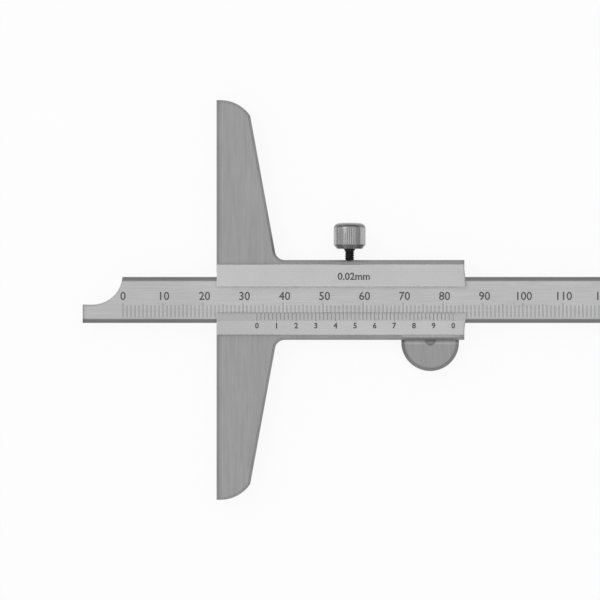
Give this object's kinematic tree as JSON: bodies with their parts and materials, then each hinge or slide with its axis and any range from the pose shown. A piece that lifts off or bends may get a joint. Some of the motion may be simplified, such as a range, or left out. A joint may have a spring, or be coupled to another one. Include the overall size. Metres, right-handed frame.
{
  "type": "vernier depth gauge",
  "caption": "Vernier depth gauge: flat graduated beam with a narrow blade tip sliding in a T-shaped base with vernier strip, knurled lock screw and thumb rest.",
  "frame": {"origin": "middle of the measuring face, on the beam's centre line and at half the base's thickness", "axes": "+X along the beam away from the measuring face, +Y along the measuring face towards the lock screw, +Z towards the graduated front; the gauge lies on its back"},
  "size_m": [0.2685, 0.1, 0.0082],
  "materials": {
    "ground_steel": "satin, plated, a little darker than the strips",
    "satin_chrome": "pale satin chrome",
    "beam_steel": "satin, drawn along its length",
    "knurled_steel": "bright, straight knurl",
    "bright_screws": "bright turned",
    "black_steel": "black oxide",
    "bronze": "plain"
  },
  "bodies": {
    "base": {"t_frame": "ground_steel", "upper_guide_strip": "satin_chrome", "vernier_strip": "satin_chrome", "upper_strip_screws": "bright_screws", "vernier_strip_screws": "bright_screws", "gib_strip": "bronze", "gib_set_screws": "black_steel", "thumb_rest": "ground_steel", "thumb_rest_pins": "bright_screws"},
    "beam": {"graduated_beam": "beam_steel", "end_stop_plate": "beam_steel", "end_stop_screws": "bright_screws"},
    "lock_pad_body": {"lock_pad": "bronze"},
    "lock_screw": {"lock_stem": "black_steel", "lock_knob": "knurled_steel"}
  },
  "joints": [
    {"name": "beam_slide", "type": "slide", "parent": "base", "child": "beam", "axis": [-1, 0, 0], "range_m": [-0.0335, 0.1665]},
    {"name": "lock_advance", "type": "slide", "parent": "base", "child": "lock_pad_body", "axis": [0, 1, 0], "range_m": [-0.00013, 0.0009]},
    {"name": "lock_turn", "type": "hinge", "parent": "lock_pad_body", "child": "lock_screw", "pos_m": [0.0333, 0.0128, 0.0012], "axis": [0, 1, 0], "range_deg": [-100.1, 720.1]}
  ],
  "couplings": [
    {"joint": "lock_turn", "follows": "lock_advance", "rad_per_m": 13963}
  ]
}
